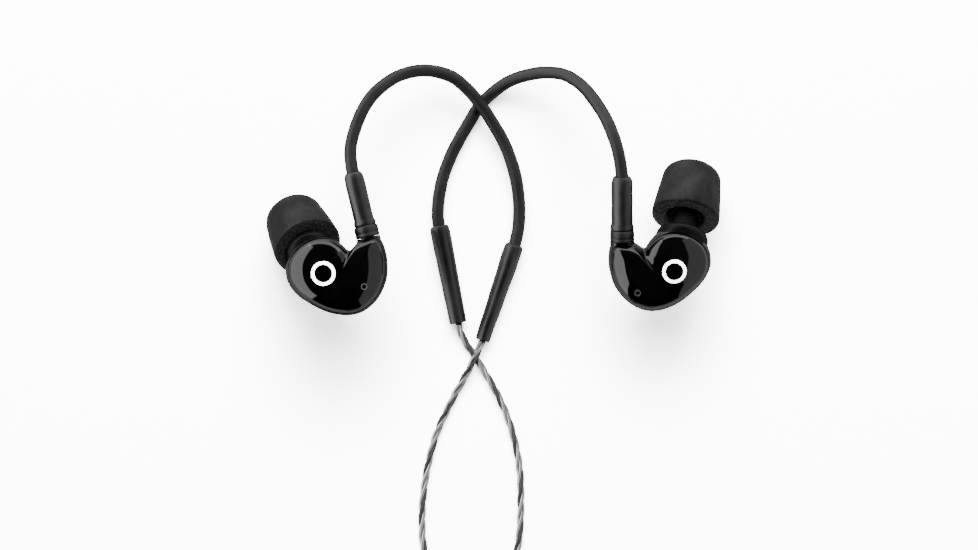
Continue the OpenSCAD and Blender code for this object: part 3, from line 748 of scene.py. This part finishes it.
def make_base(side):
    """Root of the nozzle and the boss round the socket, both part of the shell."""
    body = f"{side}_earpiece"
    rows = [(BASE_R + 0.2, BASE_START), (BASE_R, 3.4), (BASE_R, BASE_END - 1.2),
            (BASE_R - 0.06, BASE_END - 0.8), (BASE_R - 0.2, BASE_END - 0.45),
            (BASE_R - 0.45, BASE_END - 0.17), (BASE_R - 0.8, BASE_END - 0.03),
            (BASE_R - 1.2, BASE_END), (BASE_BORE_R, BASE_END), (BASE_BORE_R, BASE_START),
            (BASE_R + 0.2, BASE_START)]
    # the root is shell plastic but gets the dull near-black instead of the gloss: painted shade
    # in the recess under the tip
    base = turned(f"{side}_nozzle_base", rows, 96, along_nozzle(side, 0), body,
                  [PAINTED_SHADE_BLACK])
    rows = [(BOSS_BORE_R, 0.0), (BOSS_R, 0.0), (BOSS_R, BOSS_LEN - 0.12),
            (BOSS_R - 0.03, BOSS_LEN - 0.04), (BOSS_R - 0.1, BOSS_LEN),
            (BOSS_BORE_R, BOSS_LEN), (BOSS_BORE_R, 0.0)]
    boss = turned(f"{side}_socket_boss", rows, 72, along_connector(side, BOSS_START), body,
                  [GLOSS])
    for piece in (base, boss):
        cut_at_seam(piece, side)
        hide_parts(f"{side}_shell")


MARK_SPOT, MARK_R, MARK_LINE = (-2.1, 0.9), 2.3, 0.62
MARK_SIDES, MARK_ROWS = 96, 6
INK = 0.012           # mm, how far the print stands off the faceplate


def make_mark(side, face):
    """Plain printed ring, laid on the faceplate's dome."""
    inverse = PLACE[side].inverted()
    local = [inverse @ (v.co / MM) for v in face.data.vertices]
    tree = BVHTree.FromPolygons(local, [tuple(p.vertices) for p in face.data.polygons])
    points = []
    for r in np.linspace(MARK_R - MARK_LINE, MARK_R, MARK_ROWS):
        for k in range(MARK_SIDES):
            a = 2 * math.pi * k / MARK_SIDES
            x, y = MARK_SPOT[0] + r * math.cos(a), MARK_SPOT[1] + r * math.sin(a)
            hit = tree.ray_cast(Vector((x, y, 10)), Vector((0, 0, -1)))[0]
            points.append(PLACE[side] @ Vector((x, y, hit.z + INK)))
    make_piece(f"{side}_mark", points, ring_faces(MARK_ROWS, MARK_SIDES, 0, caps=False),
               f"{side}_earpiece", [WHITE])


for side in SIDES:
    make_mark(side, make_body(side))
    make_base(side)


# ---------------------------------------------------------------- foam tips
FOAM_BORE_R = 2.95
FOAM_SIDES = 160
FOAM_WAVE = 0.035     # mm, how uneven the foam's skin is


def foam_profile():
    """Closed profile of the foam tip: the cut back face, the skin, the round nose, the bore."""
    rows = [(FOAM_BORE_R, 2.0), (3.3, 1.95), (3.55, 1.7), (3.62, 1.0), (3.72, 0.3), (3.95, 0.05),
            (4.6, 0.0), (5.3, 0.0), (5.9, 0.0), (6.2, 0.03)]
    cut_rows = len(rows) - 1
    rows += [(6.38, 0.12), (6.47, 0.3)]
    nose = TIP_LEN - TIP_ROUND
    for h in np.linspace(0.6, nose, 14):
        rows.append((TIP_R - (TIP_R - TIP_NOSE_R) * ((h - 0.6) / (nose - 0.6)) ** 1.3, h))
    for a in np.linspace(6, 90, 15):
        rows.append((TIP_NOSE_R - TIP_ROUND + TIP_ROUND * math.cos(math.radians(a)),
                     nose + TIP_ROUND * math.sin(math.radians(a))))
    rows += [(FOAM_BORE_R, TIP_LEN - 0.03), (FOAM_BORE_R - 0.02, TIP_LEN - 0.2),
             (FOAM_BORE_R, TIP_LEN - 0.5)]
    rows += [(FOAM_BORE_R, h) for h in np.linspace(TIP_LEN - 1.5, 2.0, 4)]
    return rows, cut_rows


def make_tip(side):
    """Foam tip with a slightly wavy skin; its back face is cut foam."""
    rows, cut_rows = foam_profile()
    waves = [(noise_source.integers(2, 7), noise_source.uniform(0, 6.28),
              noise_source.uniform(0.2, 0.9)) for _ in range(6)]

    def ripple(r, h, angle):
        soft = sum(w * np.sin(n * angle + p + h * 0.35) for n, p, w in waves)
        amount = FOAM_WAVE * min(1, max(0, (r - 3.2) / 2))
        return r + amount * soft

    groups = [1 if i < cut_rows else 0 for i in range(len(rows) - 1)]
    piece = turned(f"{side}_foam", rows, FOAM_SIDES, along_nozzle(side, SEAT[side]),
                   f"{side}_tip", [SKIN, CUT], groups, ripple)
    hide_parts(f"{side}_foam_tip")


for side in SIDES:
    make_tip(side)


# ---------------------------------------------------------------- sleeves, hooks and collars
SLEEVE_BORE_R, HOOK_GRIP_R, LEAD_GRIP_R = 1.4, 1.24, 0.74
COLLAR_BORE_R, COLLAR_SIDES = 1.22, 64
HOOK_STEP, HOOK_SIDES = 0.5, 28


def shrunk(bore_r, even, odd, dent, pitch, less=0.0):
    """Ripple of a sleeve shrunk onto what it holds: a little oval, creased and dented. Its
    bore stays round."""
    phase = noise_source.uniform(0, 6.28, 4)

    def ripple(radius, h, angle):
        if radius < bore_r + 0.01:
            return np.full(len(angle), radius)
        flat = even * np.cos(2 * angle + phase[0]) + odd * np.cos(3 * angle + phase[1])
        dents = dent * np.sin(h * pitch + phase[2]) * np.cos(angle + phase[3])
        return radius - less + flat + dents + SLEEVE_OVAL * np.cos(angle) ** 2

    return ripple


def make_upper_sleeve(side):
    """Sleeve from the collar onto the hook, with a rolled lip at the collar."""
    r = UPPER_SLEEVE_R[side]
    length = SLEEVE_END - SLEEVE_START
    rows = [(SLEEVE_BORE_R, 0.0), (r + 0.05, 0.0), (r + 0.16, 0.1), (r + 0.2, 0.3),
            (r + 0.19, 0.55), (r + 0.08, 0.85), (r - 0.02, 1.2)]
    rows += [(r - 0.02, h) for h in np.linspace(1.5, length - 1.6, 22)]
    rows += [(r - 0.04, length - 1.2), (r - 0.12, length - 0.75), (r - 0.25, length - 0.4),
             (r - 0.4, length - 0.14), (r - 0.55, length), (HOOK_GRIP_R, length),
             (HOOK_GRIP_R, length - 1.5), (SLEEVE_BORE_R, 0.0)]
    piece = turned(f"{side}_upper_shrink", rows, SLEEVE_SIDES,
                   along_connector(side, SLEEVE_START), "harness", [SHRINK],
                   ripple=shrunk(SLEEVE_BORE_R, 0.05, 0.025, 0.03, 1.7))
    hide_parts(f"{side}_upper_sleeve")


def make_lower_sleeve(side):
    """Sleeve that tapers from the end of the hook onto the lead."""
    start, end, r_top, r_end = LOWER_SLEEVE[side]
    along = Vector(end) - Vector(start)
    length = along.length
    place = Matrix.Translation(start) @ along.to_track_quat("Z", "Y").to_matrix().to_4x4()
    rows = [(HOOK_GRIP_R, 1.5), (HOOK_GRIP_R, 0.0), (r_top - 0.44, 0.0),
            (r_top - 0.28, 0.08), (r_top - 0.12, 0.35), (r_top - 0.02, 0.8), (r_top, 1.3)]
    for h in np.linspace(1.8, length - 0.5, 30):
        share = min(1, max(0, (h - 4) / (length - 4)))
        rows.append((r_top + (r_end - r_top) * share ** 0.8, h))
    rows += [(r_end - 0.01, length - 0.25), (r_end - 0.08, length - 0.08),
             (r_end - 0.2, length), (LEAD_GRIP_R + 0.04, length),
             (LEAD_GRIP_R, length - 0.4), (LEAD_GRIP_R, 4.0), (HOOK_GRIP_R, 1.5)]
    piece = turned(f"{side}_lower_shrink", rows, SLEEVE_SIDES, place, "harness",
                   [SHRINK],
                   ripple=shrunk(HOOK_GRIP_R, 0.035, 0.02, 0.025, 0.9, 0.04))
    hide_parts(f"{side}_lower_sleeve")


def make_hook(side):
    """Soft tube of the ear hook, not quite even along its length."""
    path = evenly(spline(HOOK_ROUTE[side], ROUTE_STEPS), HOOK_STEP)
    along = np.linspace(0, length_of(path), len(path))
    radius = HOOK_R + 0.012 * np.sin(along * 0.8) + 0.01 * np.sin(along * 0.31 + 1)
    rings = tube_rings(path, radius, HOOK_SIDES)
    piece = make_piece(f"{side}_hook_tube", rings.reshape(-1, 3),
                       ring_faces(len(path), HOOK_SIDES, 0), "harness", [HOOK])
    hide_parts(f"{side}_ear_hook")


def make_collar(side):
    """Grooved collar at the cable's plug."""
    r = COLLAR_R
    rows = [(COLLAR_BORE_R, 0.0), (r - 0.2, 0.0), (r - 0.05, 0.06), (r, 0.2), (r, 0.62),
            (r - 0.06, 0.7), (r - 0.06, 0.82), (r, 0.9), (r - 0.02, 1.5), (r - 0.07, 1.9),
            (r - 0.16, 2.1), (r - 0.32, COLLAR_LEN), (COLLAR_BORE_R, COLLAR_LEN),
            (COLLAR_BORE_R, 0.0)]
    piece = turned(f"{side}_collar_ring", rows, COLLAR_SIDES,
                   along_connector(side, COLLAR_START), "harness", [BLACK])
    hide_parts(f"{side}_collar")


for side in SIDES:
    make_upper_sleeve(side)
    make_lower_sleeve(side)
    make_hook(side)
    make_collar(side)


# ---------------------------------------------------------------- CAD nodes that stay
SHARP_ANGLE = math.radians(35)
SOCKET_SEEN_R = 1.5   # mm, the socket's outside is moulded black from here on
PLUG_SEEN_AT = 5.3    # mm along the connector, the plug's black part starts here


def dress(node, material):
    """Gives a CAD node its material, and smooth shading between its sharp edges."""
    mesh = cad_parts[node].data
    mesh.materials.clear()
    mesh.materials.append(material)
    mesh.polygons.foreach_set("use_smooth", [True] * len(mesh.polygons))
    mesh.set_sharp_from_angle(angle=SHARP_ANGLE)


def dress_contact(side, part, black, hidden):
    """Gold where a contact is hidden, black where its outside can be seen. hidden(r, along)
    tells the two apart, from the connector's axis."""
    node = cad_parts[f"{side}_{part}"]
    dress(f"{side}_{part}", GOLD)
    node.data.materials.append(black)
    back = (PLACE[side] @ Matrix.Translation((AXIS_X, 0, -AXIS_DROP))).inverted()
    for face in node.data.polygons:
        spot = back @ (node.matrix_world @ face.center / MM)
        if not hidden(math.hypot(spot.x, spot.z), spot.y):
            face.material_index = 1


FILM = plain_plastic("driver_film", (0.2, 0.15, 0.07), 0.25)
CERAMIC = plain_plastic("insulator_white", (0.4, 0.4, 0.37), 0.4)
COPPER = metal("copper", (0.72, 0.4, 0.22), 0.3)
CORE = satin_black("core_rubber", 0.0012, 0.6, mute=0.97)
TIE = woven("tie_weave", 0.0015)
MESH = woven("nozzle_weave", 0.03)
VENT = satin_black("vent_grey", 0.006, 0.35, mute=0.85)
for side in SIDES:
    dress(f"{side}_vent_ring", VENT)
    dress(f"{side}_nozzle", NECK_PAINTED_SHADE)
    dress(f"{side}_nozzle_mesh", MESH)
    dress(f"{side}_tip_core", CORE)
    dress(f"{side}_driver_frame", STEEL)
    dress(f"{side}_driver_magnet", STEEL)
    dress(f"{side}_driver_diaphragm", FILM)
    dress(f"{side}_driver_wires", COPPER)
    dress_contact(side, "socket", GLOSS, lambda r, along: r < SOCKET_SEEN_R)
    dress_contact(side, "cable_plug", BLACK, lambda r, along: along < PLUG_SEEN_AT)
    dress(f"{side}_socket_insulator", CERAMIC)
    dress(f"{side}_snap_ring", STEEL)
    dress(f"{side}_cable_pin", GOLD)
    dress(f"{side}_hook_cable", SILVER)
dress("neck_slider", BLACK)
dress("y_splitter", BLACK)
dress("cable_tie", TIE)
dress("plug_strain_relief", CORE)
dress("plug_barrel", BLACK)
dress("plug_insulators", BLACK)
for contact in ("sleeve", "ring", "tip"):
    dress(f"plug_{contact}_contact", GOLD)


# ---------------------------------------------------------------- floor and light
TABLE_HALF = 3.0     # metres, as are the places and sizes of the lights
TABLE_GLOW = 1.2
ROOM_GLOW = 0.05


def make_floor():
    """White table that glows a little, like a sheet lit from behind."""
    s = Shade("white_table")
    s.set(color=0.9, rough=0.9, specular=0.0)
    s.surface.inputs["Emission Color"].default_value = (1, 1, 1, 1)
    s.surface.inputs["Emission Strength"].default_value = TABLE_GLOW
    mesh = bpy.data.meshes.new("table")
    a = TABLE_HALF
    mesh.from_pydata([(-a, -a, 0), (a, -a, 0), (a, a, 0), (-a, a, 0)], [], [(0, 1, 2, 3)])
    mesh.materials.append(s.material)
    table = bpy.data.objects.new("table", mesh)
    bpy.context.scene.collection.objects.link(table)


def softbox(name, place, aim, size, radiance, lights=True, mirrored=True):
    """Rectangular light of the given radiance. It lights dull surfaces, shows in glossy ones,
    or does both."""
    data = bpy.data.lights.new(name, "AREA")
    data.shape = "RECTANGLE"
    data.size, data.size_y = size
    data.energy = radiance * math.pi * size[0] * size[1]
    lamp = bpy.data.objects.new(name, data)
    lamp.location = place
    lamp.rotation_euler = (Vector(aim) - Vector(place)).to_track_quat("-Z", "Y").to_euler()
    lamp.visible_diffuse = lights
    lamp.visible_glossy = mirrored
    bpy.context.scene.collection.objects.link(lamp)


def make_light():
    """Panels overhead that light dull surfaces, and panels round the sides that only show as
    reflections."""
    world = bpy.data.worlds.new("dim_room")
    world.use_nodes = True
    background = world.node_tree.nodes["Background"]
    background.inputs["Color"].default_value = (1, 1, 1, 1)
    background.inputs["Strength"].default_value = ROOM_GLOW
    bpy.context.scene.world = world
    softbox("sky_panel", (0.0, 0.6, 0.8), (0, 0, 0), (1.3, 0.8), 33, mirrored=False)
    softbox("key_panel", (0.0, 0.75, 0.6), (0, 0, 0), (0.6, 0.5), 112, mirrored=False)
    softbox("left_panel", (-0.8, 0.1, 0.56), (0, 0.1, 0.56), (2.6, 1.08), 23, lights=False)
    softbox("right_panel", (0.6, 0.0, 0.6), (0, 0.0, 0.6), (2.2, 1.16), 6, lights=False)
    softbox("back_strip", (0.0, 0.9, 0.22), (0, 0, 0.22), (1.2, 0.4), 20, lights=False)


make_floor()
make_light()
